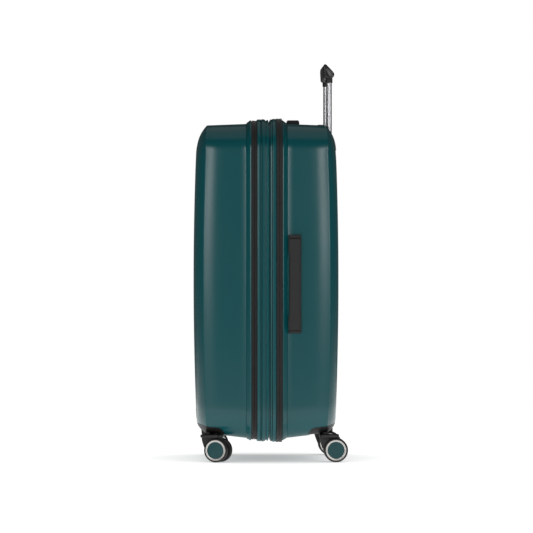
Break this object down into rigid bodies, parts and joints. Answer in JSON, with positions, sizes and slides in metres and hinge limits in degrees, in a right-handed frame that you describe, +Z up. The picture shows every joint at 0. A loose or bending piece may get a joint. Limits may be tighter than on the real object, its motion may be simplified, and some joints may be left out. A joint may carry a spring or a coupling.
{
  "type": "hard shell suitcase",
  "caption": "Hard shell suitcase with zip opening and expander, pull handle, carry handles, combination lock and swivelling twin wheels.",
  "frame": {"origin": "on the floor under the middle of the case body", "axes": "+Z up, the opening lid faces -Y, the pull handle stands at +Y, the side carry handle is on +X"},
  "size_m": [0.5265, 0.3435, 0.895],
  "materials": {
    "shell": "satin moulded polypropylene",
    "piping": "smooth bead",
    "zip_tape": "woven tape with coil",
    "lining_fabric": "plain woven polyester",
    "webbing": "woven webbing",
    "black_plastic": "fine moulded grain",
    "handle_rubber": "soft touch",
    "zip_metal": "dark plated",
    "steel": "turned",
    "tube_aluminium": "bright anodised",
    "wheel_tyre": "polyurethane tread",
    "hub_plastic": "moulded"
  },
  "bodies": {
    "rear_case": {"rear_shell": "shell", "expander_zip_rear": "zip_tape", "expander_gusset": "lining_fabric", "handle_bezel": "black_plastic", "trolley_sleeves": "black_plastic", "top_handle_mounts": "black_plastic", "side_handle_mounts": "black_plastic", "rear_lining": "lining_fabric", "packing_straps": "webbing", "strap_buckle": "black_plastic", "wheel_housing_rear_left": "black_plastic", "wheel_housing_rear_right": "black_plastic"},
    "middle_frame": {"middle_frame": "shell", "frame_piping": "piping", "main_zip_rear": "zip_tape", "expander_zip_front": "zip_tape", "hinge_strip": "lining_fabric"},
    "front_case": {"front_shell": "shell", "main_zip_front": "zip_tape", "lock_housing": "black_plastic", "dial_axle": "steel", "divider_panel": "lining_fabric", "wheel_housing_front_left": "black_plastic", "wheel_housing_front_right": "black_plastic"},
    "slider_left": {"slider_left": "zip_metal"},
    "slider_right": {"slider_right": "zip_metal"},
    "pull_left": {"pull_left": "zip_metal"},
    "pull_right": {"pull_right": "zip_metal"},
    "expander_slider": {"expander_slider": "zip_metal"},
    "expander_pull": {"expander_pull": "zip_metal"},
    "lock_button": {"lock_button": "black_plastic"},
    "lock_keyway": {"lock_keyway": "zip_metal"},
    "lock_dial_1": {"lock_dial_1": "black_plastic"},
    "lock_dial_2": {"lock_dial_2": "black_plastic"},
    "lock_dial_3": {"lock_dial_3": "black_plastic"},
    "trolley_outer": {"outer_tubes": "tube_aluminium", "tube_bushes": "black_plastic"},
    "trolley_inner": {"inner_tubes": "tube_aluminium", "grip_collars": "black_plastic", "grip": "black_plastic"},
    "grip_button": {"grip_button": "black_plastic", "release_rods": "steel"},
    "top_handle": {"top_handle": "handle_rubber"},
    "side_handle": {"side_handle": "handle_rubber"},
    "caster_front_left": {"caster_fork_front_left": "black_plastic"},
    "wheels_front_left": {"caster_tyres_front_left": "wheel_tyre", "caster_hubs_front_left": "hub_plastic", "caster_axle_front_left": "steel"},
    "caster_front_right": {"caster_fork_front_right": "black_plastic"},
    "wheels_front_right": {"caster_tyres_front_right": "wheel_tyre", "caster_hubs_front_right": "hub_plastic", "caster_axle_front_right": "steel"},
    "caster_rear_left": {"caster_fork_rear_left": "black_plastic"},
    "wheels_rear_left": {"caster_tyres_rear_left": "wheel_tyre", "caster_hubs_rear_left": "hub_plastic", "caster_axle_rear_left": "steel"},
    "caster_rear_right": {"caster_fork_rear_right": "black_plastic"},
    "wheels_rear_right": {"caster_tyres_rear_right": "wheel_tyre", "caster_hubs_rear_right": "hub_plastic", "caster_axle_rear_right": "steel"}
  },
  "joints": [
    {"name": "expander", "type": "slide", "parent": "rear_case", "child": "middle_frame", "axis": [0, -1, 0], "range_m": [0, 0.04], "deforming": ["expander_gusset"]},
    {"name": "lid_hinge", "type": "hinge", "parent": "middle_frame", "child": "front_case", "pos_m": [-0.261, -0.028, 0.4065], "axis": [0, 0, -1], "range_deg": [0, 180], "deforming": ["hinge_strip"]},
    {"name": "pull_handle_lower", "type": "slide", "parent": "rear_case", "child": "trolley_outer", "axis": [0, 0, 1], "range_m": [0, 0.17]},
    {"name": "pull_handle_upper", "type": "slide", "parent": "trolley_outer", "child": "trolley_inner", "axis": [0, 0, 1], "range_m": [-0.135, 0.06]},
    {"name": "grip_button", "type": "slide", "parent": "trolley_inner", "child": "grip_button", "axis": [0, 0, 1], "range_m": [0, 0.004], "stiffness_N_per_m": 800, "springref_m": -0.003},
    {"name": "top_handle", "type": "slide", "parent": "rear_case", "child": "top_handle", "axis": [0, 0, 1], "range_m": [0, 0.016], "stiffness_N_per_m": 400, "springref_m": -0.003},
    {"name": "side_handle", "type": "slide", "parent": "rear_case", "child": "side_handle", "axis": [1, 0, 0], "range_m": [0, 0.016], "stiffness_N_per_m": 400, "springref_m": -0.003},
    {"name": "swivel_front_left", "type": "hinge", "parent": "front_case", "child": "caster_front_left", "pos_m": [-0.2, -0.131, 0.065], "axis": [0, 0, 1], "continuous": true},
    {"name": "roll_front_left", "type": "hinge", "parent": "caster_front_left", "child": "wheels_front_left", "pos_m": [-0.2, -0.107, 0.027], "axis": [1, 0, 0], "continuous": true},
    {"name": "swivel_front_right", "type": "hinge", "parent": "front_case", "child": "caster_front_right", "pos_m": [0.2, -0.131, 0.065], "axis": [0, 0, 1], "continuous": true},
    {"name": "roll_front_right", "type": "hinge", "parent": "caster_front_right", "child": "wheels_front_right", "pos_m": [0.20702, -0.10805, 0.027], "axis": [0.9563, -0.2924, 0], "continuous": true},
    {"name": "swivel_rear_left", "type": "hinge", "parent": "rear_case", "child": "caster_rear_left", "pos_m": [-0.2, 0.131, 0.065], "axis": [0, 0, 1], "continuous": true},
    {"name": "roll_rear_left", "type": "hinge", "parent": "caster_rear_left", "child": "wheels_rear_left", "pos_m": [-0.2, 0.155, 0.027], "axis": [1, 0, 0], "continuous": true},
    {"name": "swivel_rear_right", "type": "hinge", "parent": "rear_case", "child": "caster_rear_right", "pos_m": [0.2, 0.131, 0.065], "axis": [0, 0, 1], "continuous": true},
    {"name": "roll_rear_right", "type": "hinge", "parent": "caster_rear_right", "child": "wheels_rear_right", "pos_m": [0.2, 0.155, 0.027], "axis": [1, 0, 0], "continuous": true},
    {"name": "slider_left", "type": "slide", "parent": "middle_frame", "child": "slider_left", "axis": [-1, 0, 0], "range_m": [0, 0.134]},
    {"name": "slider_right", "type": "slide", "parent": "middle_frame", "child": "slider_right", "axis": [1, 0, 0], "range_m": [0, 0.134]},
    {"name": "pull_left", "type": "hinge", "parent": "slider_left", "child": "pull_left", "pos_m": [-0.036, -0.028, 0.7676], "axis": [1, 0, 0], "range_deg": [0, 150]},
    {"name": "pull_right", "type": "hinge", "parent": "slider_right", "child": "pull_right", "pos_m": [0.036, -0.028, 0.7676], "axis": [1, 0, 0], "range_deg": [0, 150]},
    {"name": "expander_slider", "type": "slide", "parent": "rear_case", "child": "expander_slider", "axis": [0, 0, 1], "range_m": [-0.28, 0.28]},
    {"name": "expander_pull", "type": "hinge", "parent": "expander_slider", "child": "expander_pull", "pos_m": [-0.2646, 0.028, 0.4065], "axis": [0, 0, 1], "range_deg": [0, 150]},
    {"name": "lock_button", "type": "slide", "parent": "front_case", "child": "lock_button", "axis": [0, 0, -1], "range_m": [0, 0.0025], "stiffness_N_per_m": 500, "springref_m": -0.002},
    {"name": "lock_keyway", "type": "hinge", "parent": "front_case", "child": "lock_keyway", "pos_m": [-0.024, -0.048, 0.76], "axis": [0, 0, 1], "range_deg": [0, 90]},
    {"name": "lock_dial_1", "type": "hinge", "parent": "front_case", "child": "lock_dial_1", "pos_m": [-0.008, -0.048, 0.7545], "axis": [1, 0, 0], "continuous": true},
    {"name": "lock_dial_2", "type": "hinge", "parent": "front_case", "child": "lock_dial_2", "pos_m": [0, -0.048, 0.7545], "axis": [1, 0, 0], "continuous": true},
    {"name": "lock_dial_3", "type": "hinge", "parent": "front_case", "child": "lock_dial_3", "pos_m": [0.008, -0.048, 0.7545], "axis": [1, 0, 0], "continuous": true}
  ]
}
